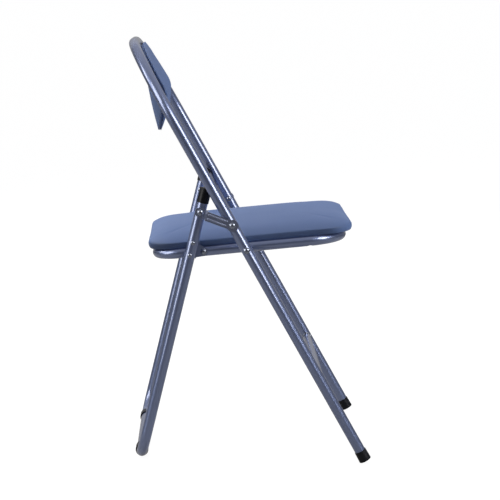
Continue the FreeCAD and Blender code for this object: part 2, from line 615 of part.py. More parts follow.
# ---- build and write every piece
def main():
    os.makedirs("parts", exist_ok=True)
    save("front_frame", front_frame())
    save("front_crossbar", crossbar(leg_outline()))
    save("rear_frame", rear_frame())
    save("seat_frame", seat_frame())
    bracket_rivet_points = [on_rear_leg(h) for h in BRACKET_RIVET_HEIGHTS]
    for name, side in SIDES:
        save("foot_cap_" + name, foot_cap(side))
        save("rear_top_cap_" + name, top_cap(side))
        save("floor_glide_" + name, floor_glide(side))
        save("link_" + name, link(side))
        save("link_front_washer_" + name, washer(link_front, side, front_leg_outer, RIVET_R))
        save("link_front_rivet_" + name,
             rivet(link_front, side, link_outer_plane + LINK_T + SIDE_GAP, front_leg_inner,
                   RIVET_R, RIVET_HEAD_R, RIVET_HEAD_H))
        save("link_rear_rivet_" + name,
             rivet(link_rear, side, link_inner_plane + LINK_T, link_inner_plane,
                   RIVET_R, RIVET_HEAD_R, RIVET_HEAD_H, tail=False))
        save("rear_leg_rivet_" + name,
             rivet(link_rear, -side, -rear_leg_inner, -rear_leg_outer,
                   RIVET_R, RIVET_HEAD_R * 0.85, RIVET_HEAD_H * 0.7, tail=False))
        save("seat_bracket_" + name, bracket(side))
        save("bracket_rivets_" + name,
             *[rivet(at, side, rear_leg_outer, bracket_inner,
                     SMALL_RIVET_R, SMALL_RIVET_HEAD_R, SMALL_RIVET_HEAD_H)
               for at in bracket_rivet_points])
        save("seat_rear_washer_" + name, washer(seat_rear_pivot, side, bracket_inner - WASHER_T, RIVET_R))
        save("seat_rear_rivet_" + name,
             rivet(seat_rear_pivot, side, rear_leg_inner, seat_tube_inner - SIDE_GAP,
                   RIVET_R, RIVET_HEAD_R, RIVET_HEAD_H))
        spacer = cross_rod(seat_pivot, SPACER_R, side * (seat_tube_outer + SIDE_GAP), side * front_leg_inner)
        save("seat_spacer_" + name, spacer.cut(cross_rod(seat_pivot, RIVET_R, 0, side * front_leg_outer)))
        save("seat_front_rivet_" + name,
             rivet(seat_pivot, side, front_leg_outer, seat_tube_inner - SIDE_GAP,
                   RIVET_R, RIVET_HEAD_R, RIVET_HEAD_H))
    board = seat_board()
    save("seat_board", put(board, seat_plane))
    save("seat_cushion", put(seat_cushion(board), seat_plane))
    save("seat_screws", *[seat_screw(x, side) for x in SEAT_SCREW_STATIONS for _, side in SIDES])
    back_board, back_pad = back_panel()
    save("back_board", back_board)
    save("back_pad", back_pad)
    rod = arch_rod()
    layer = panel_sheet(-TAB_T).extrude(V(TAB_T, 0, 0))
    save("back_tabs", *[put(back_tab(y, up, way, rod, layer), front_plane) for y, up, way in tab_places()])
    save("back_screws", *[back_screw(y, up) for y, up, _ in tab_places()])


main()
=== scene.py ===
import json
import math

import bpy
from mathutils import Matrix, Vector


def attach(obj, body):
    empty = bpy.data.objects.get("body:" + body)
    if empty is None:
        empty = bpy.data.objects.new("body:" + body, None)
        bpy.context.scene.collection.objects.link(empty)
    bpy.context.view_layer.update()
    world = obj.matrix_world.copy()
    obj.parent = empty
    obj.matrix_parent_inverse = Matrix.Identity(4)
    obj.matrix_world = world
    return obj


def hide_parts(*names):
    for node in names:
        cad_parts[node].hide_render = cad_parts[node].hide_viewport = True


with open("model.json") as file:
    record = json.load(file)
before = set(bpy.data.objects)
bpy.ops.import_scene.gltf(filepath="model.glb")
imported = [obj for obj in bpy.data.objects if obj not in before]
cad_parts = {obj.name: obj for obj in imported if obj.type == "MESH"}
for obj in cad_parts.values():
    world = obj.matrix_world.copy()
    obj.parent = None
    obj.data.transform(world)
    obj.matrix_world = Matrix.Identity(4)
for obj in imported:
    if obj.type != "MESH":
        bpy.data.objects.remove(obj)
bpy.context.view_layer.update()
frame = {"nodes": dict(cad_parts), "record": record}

# Folding chair: upholstery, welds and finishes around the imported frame.
# The scene is in metres. Shapes are worked out in millimetres in two local frames,
# the leaning front frame and the tilted seat, and are then put in their place.

nodes = frame["nodes"]
scene = bpy.context.scene
MM = 0.001

FRONT_LEAN = math.radians(28.9)
FRONT_FOOT = Vector((0.21485, 0, 0))
SEAT_TILT = math.radians(5.0)
SEAT_MIDDLE = Vector((-0.006514, 0, 0.4010))
FRONT = Matrix.Translation(FRONT_FOOT) @ Matrix.Rotation(-FRONT_LEAN, 4, "Y")
SEAT = Matrix.Translation(SEAT_MIDDLE) @ Matrix.Rotation(-SEAT_TILT, 4, "Y")


# ---------------------------------------------------------------- materials
class Value:
    """A shader socket that takes arithmetic."""

    def __init__(self, shade, socket):
        self.shade = shade
        self.socket = socket

    def maths(self, operation, a, b):
        return self.shade.node("ShaderNodeMath", [a, b], operation=operation)

    def __add__(self, other):
        return self.maths("ADD", self, other)

    def __radd__(self, other):
        return self.maths("ADD", other, self)

    def __sub__(self, other):
        return self.maths("SUBTRACT", self, other)

    def __rsub__(self, other):
        return self.maths("SUBTRACT", other, self)

    def __mul__(self, other):
        return self.maths("MULTIPLY", self, other)

    def __rmul__(self, other):
        return self.maths("MULTIPLY", other, self)

    def ramp(self, low, high, to_low=0.0, to_high=1.0):
        """Rises from to_low to to_high as the value goes from low to high."""
        return self.shade.node("ShaderNodeMapRange", [self, low, high, to_low, to_high])


class Nodes:
    """A node tree, with one method that adds any node."""

    def __init__(self, tree):
        self.tree = tree

    def feed(self, socket, value):
        if isinstance(value, Value):
            self.tree.links.new(value.socket, socket)
        else:
            socket.default_value = value

    def node(self, kind, inputs, out=0, stops=(), **settings):
        node = self.tree.nodes.new(kind)
        for key, value in settings.items():
            setattr(node, key, value)
        if stops:
            elements = node.color_ramp.elements
            elements[0].position, elements[0].color = stops[0]
            elements[1].position, elements[1].color = stops[-1]
            for position, colour in stops[1:-1]:
                elements.new(position).color = colour
        pairs = inputs.items() if isinstance(inputs, dict) else enumerate(inputs)
        for key, value in pairs:
            self.feed(node.inputs[key], value)
        return Value(self, node.outputs[out])


class Shade(Nodes):
    """One material being built around its Principled shader."""

    def __init__(self, name, colour, roughness, **constants):
        self.material = bpy.data.materials.new(name)
        self.material.use_nodes = True
        super().__init__(self.material.node_tree)
        self.shader = next(n for n in self.tree.nodes if n.type == "BSDF_PRINCIPLED")
        self.set("Base Color", (*colour, 1.0))
        self.set("Roughness", roughness)
        for key, value in constants.items():
            self.set(key.replace("_", " "), value)
        self.material.diffuse_color = (*colour, 1.0)
        self.place = self.node("ShaderNodeTexCoord", {}, out="Object")

    def set(self, name, value):
        self.feed(self.shader.inputs[name], value)

    def noise(self, scale, detail=2.0, roughness=0.5, at=None):
        return self.node("ShaderNodeTexNoise", {"Vector": at or self.place, "Scale": scale,
                                                "Detail": detail, "Roughness": roughness})

    def cells(self, scale, out="Distance", **settings):
        return self.node("ShaderNodeTexVoronoi", {"Vector": self.place, "Scale": scale},
                         out=out, **settings)

    def stretched(self, x, y, z):
        """The place with each axis scaled, so that a pattern is drawn out along the others."""
        return self.node("ShaderNodeMapping", {"Vector": self.place, "Scale": (x, y, z)})

    def blend(self, factor, a, b):
        """Colour a where factor is 0, b where it is 1."""
        mixed = self.node("ShaderNodeMix", {}, out=2, data_type="RGBA")
        node = mixed.socket.node
        self.feed(node.inputs[0], factor)
        self.feed(node.inputs[6], (*a, 1.0) if isinstance(a, tuple) else a)
        self.feed(node.inputs[7], (*b, 1.0) if isinstance(b, tuple) else b)
        return mixed

    def bump(self, height, distance, strength=1.0):
        self.set("Normal", self.node("ShaderNodeBump", {"Height": height, "Distance": distance,
                                                        "Strength": strength}))


def vinyl():
    """Smooth upholstery vinyl with a fine pebbled grain."""
    s = Shade("vinyl", (0.115, 0.175, 0.335), 0.48, Specular_IOR_Level=0.35, Coat_Weight=0.04,
              Coat_Roughness=0.30)
    grain = s.cells(950.0, feature="SMOOTH_F1")
    pores = s.noise(2600.0, 2.0)
    tone = s.noise(6.0, 3.0)
    hollow = grain.ramp(0.15, 0.75)
    # Random tone changes plus painted shade: the colour darkens in the grain's hollows.
    shade = tone.ramp(0.3, 0.7) * 0.5 + hollow * 0.35
    s.set("Base Color", s.blend(shade, (0.120, 0.188, 0.385), (0.104, 0.168, 0.350)))
    s.set("Roughness", tone.ramp(0.3, 0.7, 0.45, 0.52) + hollow * 0.05)
    s.bump(hollow * -0.8 + pores * 0.3, 0.00005, 0.12)
    return s.material


def metallic_paint(name, colour, deep, roughness, coat):
    """Metallic finish under a clear gloss: fine flakes, slow tone changes and handling marks."""
    s = Shade(name, colour, roughness, Metallic=0.85, Coat_Weight=coat, Coat_Roughness=0.10,
              Coat_IOR=1.8)
    flakes = s.cells(4200.0, out="Color")
    tone = s.noise(9.0, 3.0)
    rub = s.noise(55.0, 6.0, 0.7)
    worn = rub.ramp(0.64, 0.74)
    sparkle = s.node("ShaderNodeSeparateColor", {"Color": flakes}, out="Red")
    shade = tone.ramp(0.3, 0.7) * 0.6 + sparkle * 0.2
    s.set("Base Color", s.blend(shade, colour, deep))
    s.set("Roughness", tone.ramp(0.3, 0.7, roughness, roughness + 0.03) + worn * 0.05)
    return s.material


def plated(name, colour, roughness):
    """Bright zinc plate with a slightly mottled gloss."""
    s = Shade(name, colour, roughness, Metallic=1.0)
    mottle = s.noise(260.0, 4.0, 0.6)
    deep = tuple(c * 0.8 for c in colour)
    s.set("Base Color", s.blend(mottle.ramp(0.35, 0.7), colour, deep))
    s.set("Roughness", mottle.ramp(0.3, 0.75, roughness * 0.8, roughness * 1.5))
    s.bump(s.noise(900.0, 3.0), 0.00004, 0.15)
    return s.material


def black_plastic():
    """Moulded polypropylene with a fine spark-eroded texture and duller, dusty patches."""
    s = Shade("black_plastic", (0.004, 0.005, 0.009), 0.42, Specular_IOR_Level=0.28)
    fine = s.noise(1500.0, 3.0)
    dust = s.noise(45.0, 5.0, 0.65)
    dull = dust.ramp(0.5, 0.75)
    s.set("Base Color", s.blend(dull, (0.004, 0.005, 0.009), (0.010, 0.011, 0.017)))
    s.set("Roughness", dull * 0.16 + 0.36)
    s.bump(fine, 0.00008, 0.25)
    return s.material


def plywood():
    """Raw veneer with long grain and pores."""
    s = Shade("plywood", (0.42, 0.29, 0.17), 0.62, Specular_IOR_Level=0.3)
    along = s.stretched(1.0, 14.0, 14.0)
    rings = s.node("ShaderNodeTexWave", {"Vector": along, "Scale": 3.2, "Distortion": 5.0,
                                         "Detail": 3.0, "Detail Scale": 0.8},
                   bands_direction="Y", out="Fac")
    pores = s.noise(260.0, 3.0, 0.7, at=s.stretched(0.06, 1.0, 1.0))
    grain = rings * 0.55 + pores.ramp(0.4, 0.65) * 0.45
    s.set("Base Color", s.blend(grain, (0.50, 0.36, 0.22), (0.33, 0.21, 0.115)))
    s.set("Roughness", grain * 0.15 + 0.55)
    s.bump(grain, 0.0001, 0.4)
    return s.material


VINYL = vinyl()
PAINT = metallic_paint("grey_paint", (0.212, 0.264, 0.455), (0.188, 0.236, 0.41), 0.35, 1.0)
STRIP = metallic_paint("plated_strip", (0.27, 0.31, 0.46), (0.24, 0.275, 0.41), 0.34, 0.9)
ZINC = plated("plated_steel", (0.31, 0.34, 0.42), 0.22)
PLASTIC = black_plastic()
PLYWOOD = plywood()
WELD = plated("weld", (0.34, 0.37, 0.44), 0.34)
FINISH = {"grey_paint": PAINT, "plated_strip": STRIP, "plated_steel": ZINC,
          "black_plastic": PLASTIC, "vinyl": VINYL, "plywood": PLYWOOD}


def paint(obj, material):
    obj.data.materials.clear()
    obj.data.materials.append(material)


for part in frame["record"]["subparts"]:
    paint(nodes[part["node"]], FINISH[part["material_slot"]])


# ---------------------------------------------------------------- mesh helpers
def piece(name, verts, faces, place, material, smooth=True):
    """A mesh object from millimetre vertices in a local frame, left at the origin."""
    mesh = bpy.data.meshes.new(name)
    mesh.from_pydata([place @ (Vector(v) * MM) for v in verts], [], faces)
    mesh.update()
    obj = bpy.data.objects.new(name, mesh)
    scene.collection.objects.link(obj)
    if smooth:
        mesh.shade_smooth()
    paint(obj, material)
    return obj


def select_only(obj):
    for other in bpy.context.selected_objects:
        other.select_set(False)
    obj.select_set(True)
    bpy.context.view_layer.objects.active = obj


def apply_modifier(obj, kind, **settings):
    modifier = obj.modifiers.new(kind.title(), kind)
    for key, value in settings.items():
        setattr(modifier, key, value)
    select_only(obj)
    bpy.ops.object.modifier_apply(modifier=modifier.name)


def outward(obj):
    """Turn every face outwards."""
    select_only(obj)
    bpy.ops.object.mode_set(mode="EDIT")
    bpy.ops.mesh.select_all(action="SELECT")
    bpy.ops.mesh.normals_make_consistent(inside=False)
    bpy.ops.object.mode_set(mode="OBJECT")


def ring_faces(a, b, count, closed=True):
    """Quads between ring a and ring b, given the index of each ring's first vertex."""
    last = count if closed else count - 1
    return [(a + i, a + (i + 1) % count, b + (i + 1) % count, b + i) for i in range(last)]


def swell(obj, pressure, frames, cap, held, stiffness=18.0, smoothing=10):
    """Cloth under pressure: the cover fills. Its movement is capped, then evened out."""
    mesh = obj.data
    start = [v.co.copy() for v in mesh.vertices]
    group = obj.vertex_groups.new(name="held")
    for index, co in enumerate(start):
        group.add([index], held(co), "REPLACE")
    cloth = obj.modifiers.new("Cloth", "CLOTH")
    settings = cloth.settings
    settings.quality = 4
    settings.mass = 0.25
    settings.tension_stiffness = stiffness
    settings.compression_stiffness = stiffness
    settings.shear_stiffness = stiffness * 0.6
    settings.bending_stiffness = 0.6
    settings.use_pressure = True
    settings.uniform_pressure_force = pressure
    settings.effector_weights.gravity = 0.0
    settings.vertex_group_mass = "held"
    cloth.point_cache.frame_start = 1
    cloth.point_cache.frame_end = frames
    for f in range(1, frames + 1):
        scene.frame_set(f)
    swollen = obj.evaluated_get(bpy.context.evaluated_depsgraph_get())
    moved = [v.co.copy() for v in swollen.data.vertices]
    obj.modifiers.remove(cloth)
    obj.vertex_groups.remove(group)
    scene.frame_set(1)
    steps = []
    for a, b in zip(start, moved):
        step = b - a
        if step.length > cap:
            step *= cap / step.length
        steps.append(step * (1.0 - held(a)))
    near = neighbours(mesh)
    for _ in range(smoothing):
        steps = [(step + sum((steps[k] for k in around), Vector()) / len(around)) * 0.5
                 for step, around in zip(steps, near)]
    for v, a, step in zip(mesh.vertices, start, steps):
        v.co = a + step
    mesh.update()


def neighbours(mesh):
    """For each vertex, the vertices at the other ends of its edges."""
    near = [[] for _ in mesh.vertices]
    for e in mesh.edges:
        a, b = e.vertices
        near[a].append(b)
        near[b].append(a)
    return near


def grid_fill(boundary, start, across, down):
    """Rows of (a, b, index) that fill a closed boundary. Inside it, index is None."""
    count = len(boundary)
    top = [(start + i) % count for i in range(across + 1)]
    right = [(start + across + j) % count for j in range(down + 1)]
    bottom = [(start + 2 * across + down - i) % count for i in range(across + 1)]
    left = [(start - j) % count for j in range(down + 1)]
    rows = []
    for j in range(down + 1):
        v = j / down
        row = []
        for i in range(across + 1):
            u = i / across
            at = []
            for c in (0, 1):
                sides = ((1 - v) * boundary[top[i]][c] + v * boundary[bottom[i]][c]
                         + (1 - u) * boundary[left[j]][c] + u * boundary[right[j]][c])
                corners = ((1 - u) * (1 - v) * boundary[top[0]][c]
                           + u * (1 - v) * boundary[top[-1]][c]
                           + (1 - u) * v * boundary[bottom[0]][c]
                           + u * v * boundary[bottom[-1]][c])
                at.append(sides - corners)
            index = None
            if j in (0, down):
                index = top[i] if j == 0 else bottom[i]
            elif i in (0, across):
                index = left[j] if i == 0 else right[j]
            row.append((at[0], at[1], index))
        rows.append(row)
    return rows


def cap_faces(verts, faces, first, boundary, spec, point):
    """Close a ring that starts at vertex first with a grid; point(a, b) gives each new vertex."""
    index = []
    for row in grid_fill(boundary, *spec):
        line = []
        for a, b, edge in row:
            if edge is None:
                line.append(len(verts))
                verts.append(point(a, b))
            else:
                line.append(first + edge)
        index.append(line)
    for upper, lower in zip(index, index[1:]):
        for i in range(len(upper) - 1):
            faces.append((upper[i], upper[i + 1], lower[i + 1], lower[i]))


# ---------------------------------------------------------------- seat cushion
PAD_FRONT = 201.6
PAD_REAR = -180.6
PAD_HALF = 172.0
PAD_CORNER = 46.0
PAD_BOTTOM = 10.0
PAD_HEIGHT = 34.2
PAD_FALL_ACROSS = 15.0          # the crown's fall from the middle to the sides
PAD_FALL_ALONG = 10.0           # and to the front and rear
PAD_POWER = 2.4
PAD_PULL = 0.8                  # sides drawn in between the corners
SHOULDER = 8.5                  # extra fall close to the edge
SHOULDER_WIDTH = 45.0
LIP_HEIGHT = 9.5                # widest part of the side above the underside
LIP_DEPTH = 5.0                 # how far the side tucks in below its widest part
ROLL_REACH = 9.0                # radius of the edge's roll, seen from above
ROLL = math.radians(45.0)       # how far round the roll goes before the top begins
HEM = 34.0                      # cover turned in under the board
UNDER_HEIGHT = 4.0              # the cushion's own underside, inside the hem
PLEATS = 5                      # gathers at each corner
PLEAT_DEPTH = 1.5
CORNER_STEPS = 14
SIDE_STEPS = 40
TOP_RING_END = 128.0            # rings give way to a grid here, in from the edge
PAD_GRID = (CORNER_STEPS // 2, CORNER_STEPS + SIDE_STEPS, CORNER_STEPS + SIDE_STEPS)


def pad_point(t, inset):
    """A point on the cushion's outline, moved in. t goes round from 0 to 8, corner then side."""
    radius = max(PAD_CORNER - inset, 8.0)
    front = PAD_FRONT - inset
    rear = PAD_REAR + inset
    half = PAD_HALF - inset
    side, part = divmod(t, 2.0)
    centres = [(front - radius, half - radius), (rear + radius, half - radius),
               (rear + radius, -half + radius), (front - radius, -half + radius)]
    side = int(side) % 4
    cx, cy = centres[side]
    turn = math.pi / 2 * side
    if part < 1.0:
        angle = turn + part * math.pi / 2
        return cx + radius * math.cos(angle), cy + radius * math.sin(angle)
    nx, ny = centres[(side + 1) % 4]
    angle = turn + math.pi / 2
    ax, ay = cx + radius * math.cos(angle), cy + radius * math.sin(angle)
    bx, by = nx + radius * math.cos(angle), ny + radius * math.sin(angle)
    k = part - 1.0
    pull = PAD_PULL * math.sin(math.pi * k) ** 2
    return (ax + (bx - ax) * k - pull * math.cos(angle), ay + (by - ay) * k - pull * math.sin(angle))


def pad_top(x, y, inset):
    """Height of the cushion's top above its underside."""
    middle = (PAD_FRONT + PAD_REAR) / 2
    a = abs(x - middle) / ((PAD_FRONT - PAD_REAR) / 2)
    b = abs(y) / PAD_HALF
    across = PAD_FALL_ACROSS * b ** PAD_POWER
    along = PAD_FALL_ALONG * a ** PAD_POWER
    fall = (across ** 3 + along ** 3) ** (1 / 3)
    near = max(0.0, 1.0 - inset / SHOULDER_WIDTH)
    return PAD_HEIGHT - fall - SHOULDER * near ** 3


PAD_STATIONS = []
for side in range(4):
    PAD_STATIONS += [side * 2.0 + k / CORNER_STEPS for k in range(CORNER_STEPS)]
    PAD_STATIONS += [side * 2.0 + 1.0 + k / SIDE_STEPS for k in range(SIDE_STEPS)]
PAD_COUNT = len(PAD_STATIONS)


def seat_cushion():
    """The closed cushion: hem and gathers below, a rolled side, a crowned top."""
    verts = []
    faces = []
    starts = []
    lines = []

    def ring(inset, height):
        """The outline moved in, at height(x, y, inset, t) above the underside."""
        starts.append(len(verts))
        lines.append([pad_point(t, inset) for t in PAD_STATIONS])
        verts.extend((x, y, PAD_BOTTOM + height(x, y, inset, t))
                     for (x, y), t in zip(lines[-1], PAD_STATIONS))

    def under(x, y, inset, t):
        """The turned-in cover, gathered in pleats at the corners."""
        part = t % 2.0
        if part > 1.0:
            return -1.0
        fold = abs(math.sin(part * math.pi * PLEATS)) ** 0.7 * math.sin(math.pi * part) ** 0.5
        return -1.0 - PLEAT_DEPTH * fold * min(1.0, max(0.0, inset - 8.0) / 14.0)

    ring(HEM + 14.0, lambda x, y, d, t: UNDER_HEIGHT)
    ring(HEM + 1.6, lambda x, y, d, t: UNDER_HEIGHT)
    ring(HEM + 0.6, lambda x, y, d, t: 0.5)
    ring(HEM, lambda x, y, d, t: under(x, y, d, t) + 0.35)
    for k in range(7):
        ring(HEM - 1.5 - k * 4.3, under)
    low_rise = LIP_HEIGHT + 1.0
    for k in range(1, 8):
        angle = math.radians(-90.0 + 90.0 * k / 8)
        ring(LIP_DEPTH * (1 - math.cos(angle)),
             lambda x, y, d, t, a=angle: LIP_HEIGHT + low_rise * math.sin(a))
    inset = ROLL_REACH * (1 - math.cos(ROLL))
    for k in range(5):
        angle = ROLL * k / 5

        def height(x, y, d, t, a=angle):
            edge = pad_top(x, y, inset)
            return LIP_HEIGHT + (edge - LIP_HEIGHT) * math.sin(a) / math.sin(ROLL)

        ring(ROLL_REACH * (1 - math.cos(angle)), height)
    step = 2.6
    while inset < TOP_RING_END:
        ring(inset, lambda x, y, d, t: pad_top(x, y, d))
        inset += step
        step = min(step * 1.16, 8.0)
    for a, b in zip(starts, starts[1:]):
        faces.extend(ring_faces(a, b, PAD_COUNT))
    cap_faces(verts, faces, starts[0], lines[0], PAD_GRID,
              lambda x, y: (x, y, PAD_BOTTOM + UNDER_HEIGHT))
    cap_faces(verts, faces, starts[-1], lines[-1], PAD_GRID,
              lambda x, y: (x, y, PAD_BOTTOM + pad_top(x, y, TOP_RING_END)))
    obj = piece("seat_pad", verts, faces, SEAT, VINYL)
    outward(obj)
    return obj


def pad_free(co):
    """How freely a point of the cushion moves: not at all underneath, fully above its lip."""
    height = (SEAT_INVERSE @ co).z / MM - PAD_BOTTOM
    return min(1.0, max(0.0, (height - LIP_HEIGHT + 5.0) / 8.0))


SEAT_INVERSE = SEAT.inverted()
cushion = seat_cushion()
swell(cushion, 2.0, 16, 0.0018, lambda co: 1.0 - pad_free(co), smoothing=24)
apply_modifier(cushion, "SUBSURF", levels=1, render_levels=1)
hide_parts("seat_cushion")
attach(cushion, "seat")

# ---------------------------------------------------------------- back panel
FRONT_HALF = 210.0
ARCH_R = 170.0
ARCH_TOP = 773.0 / math.cos(FRONT_LEAN)
ARCH_START = ARCH_TOP - ARCH_R
PANEL_INSET = 8.0
PANEL_TOP = ARCH_TOP - PANEL_INSET
BOWL_UP = 713.0                 # the panel's lowest point
BOWL_R = 307.0                  # and the radius of its lower edge
FLAT_STEPS = 16
ARC_STEPS = 80
FILLET_STEPS = 24


def panel_outline(inset):
    """The panel's outline as a closed list of (across, up), from the middle of its top."""
    arch_r = ARCH_R - PANEL_INSET - inset
    bowl_r = BOWL_R - inset
    fillet = max(18.0 - inset * 0.6, 6.0)
    ax, az = FRONT_HALF - ARCH_R, ARCH_START
    bz = BOWL_UP + BOWL_R
    # the fillet's middle lies inside both circles
    ra, rb = arch_r - fillet, bowl_r - fillet
    dx, dz = ax, az - bz
    d = math.hypot(dx, dz)
    along = (rb * rb - ra * ra + d * d) / (2 * d)
    off = math.sqrt(rb * rb - along * along)
    ux, uz = dx / d, dz / d
    options = [(along * ux - s * off * uz, bz + along * uz + s * off * ux) for s in (1, -1)]
    fx, fz = max(options)
    a_angle = math.atan2(fz - az, fx - ax)
    b_angle = math.atan2(fz - bz, fx)
    half = [(ax * k / FLAT_STEPS, az + arch_r) for k in range(FLAT_STEPS)]
    for k in range(ARC_STEPS + 1):
        angle = math.pi / 2 + (a_angle - math.pi / 2) * k / ARC_STEPS
        half.append((ax + arch_r * math.cos(angle), az + arch_r * math.sin(angle)))
    for k in range(1, FILLET_STEPS + 1):
        angle = a_angle + (b_angle - a_angle) * k / FILLET_STEPS
        half.append((fx + fillet * math.cos(angle), fz + fillet * math.sin(angle)))
    for k in range(1, ARC_STEPS + 1):
        angle = b_angle + (-math.pi / 2 - b_angle) * k / ARC_STEPS
        half.append((bowl_r * math.cos(angle), bz + bowl_r * math.sin(angle)))
    return half + [(-x, z) for x, z in reversed(half[1:-1])]


def resample(points, count):
    """The same closed line as evenly spaced points."""
    closed = points + points[:1]
    lengths = [0.0]
    for a, b in zip(closed, closed[1:]):
        lengths.append(lengths[-1] + math.hypot(b[0] - a[0], b[1] - a[1]))
    out = []
    k = 0
    for i in range(count):
        want = lengths[-1] * i / count
        while lengths[k + 1] < want:
            k += 1
        share = (want - lengths[k]) / (lengths[k + 1] - lengths[k])
        a, b = closed[k], closed[k + 1]
        out.append((a[0] + (b[0] - a[0]) * share, a[1] + (b[1] - a[1]) * share))
    return out


def arch_half(up):
    """Half the width between the arch tube's centre lines, at a height."""
    rise = min(up - ARCH_START, ARCH_R - 0.5)
    return FRONT_HALF - ARCH_R + math.sqrt(ARCH_R ** 2 - rise ** 2)


PANEL_SEAT = 10.0               # the panel's rear face at its sides, ahead of the tube's middle
SCOOP_SLOPE = 0.4308            # how its middle falls back below its top
SCOOP_EASE = 0.000585
PANEL_CROWN = 6.0


def panel_rear(y, up):
    """How far ahead of the tube's middle the panel's rear face lies."""
    below = PANEL_TOP - up
    scoop = SCOOP_SLOPE * below - SCOOP_EASE * below ** 2
    share = min(1.0, abs(y) / arch_half(up))
    return PANEL_SEAT - scoop * (1 - share ** 2)


def panel_crown(y, up):
    """The padding's extra thickness away from its edges."""
    share = min(1.0, abs(y) / arch_half(up))
    high = (up - BOWL_UP) / (PANEL_TOP - BOWL_UP)
    return PANEL_CROWN * (1 - share ** 2) * (1 - (2 * high - 1) ** 4)


RIM = 184                       # points round the panel's outline
PANEL_GRID = (-34, 68, 24)


def panel_form(name, profile, rear_depth, front_depth):
    """A closed shell over the panel. profile lists (inset, depth function), rear to front."""
    verts = []
    faces = []
    starts = []
    rings = []
    for inset, depth in profile:
        line = resample(panel_outline(inset), RIM)
        starts.append(len(verts))
        rings.append(line)
        verts.extend((depth(y, z), y, z) for y, z in line)
    for a, b in zip(starts, starts[1:]):
        faces.extend(ring_faces(a, b, RIM))
    for end, depth in ((0, rear_depth), (-1, front_depth)):
        cap_faces(verts, faces, starts[end], rings[end], PANEL_GRID,
                  lambda y, z, f=depth: (f(y, z), y, z))
    obj = piece(name, verts, faces, FRONT, VINYL)
    outward(obj)
    return obj


COVER_T = 4.0
COVER_INSET = 2.4


def back_cover():
    """The board with its rear cover, its edge turned over."""
    def front_face(y, z):
        return panel_rear(y, z) + COVER_T - 0.05

    round_r = 2.6
    profile = [(9.0, panel_rear)]
    for k in range(1, 8):
        angle = math.radians(-90 + 90 * k / 7)
        profile.append((round_r * (1 - math.cos(angle)) + COVER_INSET,
                        lambda y, z, a=angle: panel_rear(y, z) + round_r + round_r * math.sin(a)))
    profile.append((COVER_INSET, lambda y, z: panel_rear(y, z) + COVER_T - 0.5))
    profile.append((COVER_INSET + 1.8, front_face))
    return panel_form("back_cover", profile, panel_rear, front_face)


def pad_rise(y, up):
    """Thickness of the back's padding before its edge is rolled."""
    high = (up - BOWL_UP) / (PANEL_TOP - BOWL_UP)
    thin = 0.5 + 0.5 * min(1.0, max(0.0, (up - BOWL_UP) / 32.0))
    return (8.5 - 5.0 * high) * thin + panel_crown(y, up)


def back_pad():
    """The padded front: a rolled edge, a crowned face."""
    def base(y, z):
        return panel_rear(y, z) + COVER_T + 0.05

    profile = [(5.0, base), (2.0, base)]
    for k in range(12):
        angle = math.radians(-70 + 160 * k / 11)
        inset = (8.0 if angle > 0 else 2.0) * (1 - math.cos(angle))
        share = 0.30 + (0.70 if angle > 0 else 0.30) * math.sin(angle)
        profile.append((inset, lambda y, z, share=share: base(y, z) + share * pad_rise(y, z)))
    return panel_form("back_padding", profile, base, lambda y, z: base(y, z) + pad_rise(y, z))


cover = back_cover()
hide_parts("back_board")
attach(cover, "frame")


def back_free(co):
    """How freely a point of the back's padding moves: not at all next to the board."""
    at = (FRONT.inverted() @ co) / MM
    share = (at.x - panel_rear(at.y, at.z) - COVER_T) / pad_rise(at.y, at.z)
    return min(1.0, max(0.0, (share - 0.2) / 0.3))


padding = back_pad()
swell(padding, 2.0, 14, 0.0015, lambda co: 1.0 - back_free(co))
apply_modifier(padding, "SUBSURF", levels=1, render_levels=1)
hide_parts("back_pad")
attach(padding, "frame")

# ---------------------------------------------------------------- welds, screws, staples
LEG_R = 10.0
BAR_R = 8.0
BAR_UP = 158.0 / math.cos(FRONT_LEAN)


def bead(name, path, radius, closed=False):
    """A weld bead along a path of (point, outward) pairs, rippled like laid-down metal."""
    around = 10
    ripple = 0.13
    verts = []
    faces = []
    count = len(path)
    for i, (at, out) in enumerate(path):
        ahead = path[(i + 1) % count][0] if closed or i + 1 < count else at
        behind = path[i - 1][0] if closed or i else at
        along = (ahead - behind).normalized()
        side = along.cross(out).normalized()
        r = radius * (1.0 + ripple * math.cos(math.pi * i))
        if not closed:
            r *= math.sin(math.pi * (i + 0.6) / (count + 0.2)) ** 0.35
        for k in range(around):
            angle = 2 * math.pi * k / around
            verts.append(at + (out * math.cos(angle) + side * math.sin(angle)) * r)
    for i in range(count if closed else count - 1):
        faces.extend(ring_faces(i * around, (i + 1) % count * around, around))
    if not closed:
        faces += [tuple(range(around)), tuple(range((count - 1) * around, count * around))]
    obj = piece(name, verts, faces, FRONT, WELD)
    outward(obj)
    return obj


def bar_weld(side):
    """The fillet weld round one end of the cross bar, where it meets the leg's inner face."""
    path = []
    for k in range(72):
        angle = 2 * math.pi * k / 72
        dx, dz = BAR_R * math.cos(angle), BAR_R * math.sin(angle)
        y = side * (FRONT_HALF - math.sqrt(LEG_R ** 2 - dx ** 2))
        out = Vector((math.cos(angle), -side * 0.8, math.sin(angle))).normalized()
        path.append((Vector((dx, y, BAR_UP + dz)), out))
    hand = "right" if side < 0 else "left"
    return bead(f"bar_weld_{hand}", path, 1.5, closed=True)


TAB_SIDE_UP = ARCH_TOP - 93.0
TAB_OUT = 62.0
TAB_TOP_UP = ARCH_START + math.sqrt(ARCH_R ** 2 - (TAB_OUT - FRONT_HALF + ARCH_R) ** 2)
SCREW_INSET = 20.0
TABS = []
for side in (-1, 1):
    TABS.append((side * (arch_half(TAB_SIDE_UP) - SCREW_INSET), TAB_SIDE_UP, Vector((0, -side, 0))))
    TABS.append((side * TAB_OUT, TAB_TOP_UP - SCREW_INSET, Vector((0, 0, -1))))


